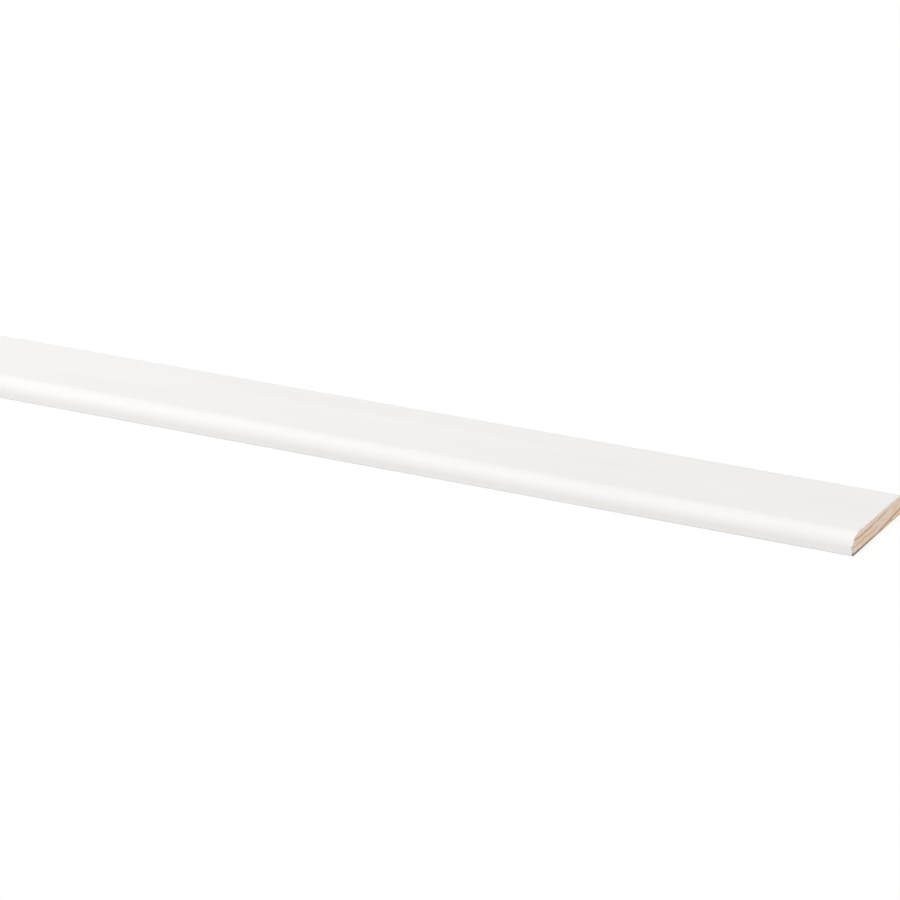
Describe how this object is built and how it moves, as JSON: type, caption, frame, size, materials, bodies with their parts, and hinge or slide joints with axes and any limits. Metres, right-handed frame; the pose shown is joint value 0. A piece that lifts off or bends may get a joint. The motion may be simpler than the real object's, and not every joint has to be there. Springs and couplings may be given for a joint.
{
  "type": "cover strip",
  "caption": "Long flat cover strip of white-coated pine with rounded show edges, a flat back and bare sawn ends, fixed over a joint to hide it.",
  "frame": {"origin": "middle of the flat back, on the surface that the strip lies on", "axes": "+X along the length, +Y across the width, +Z out of the show face"},
  "size_m": [2.4, 0.03, 0.005],
  "materials": {
    "white_coated_pine": "satin white coating on planed pine; the sawn ends and the back are bare wood"
  },
  "bodies": {
    "root": {"cover_strip": "white_coated_pine"}
  },
  "joints": []
}
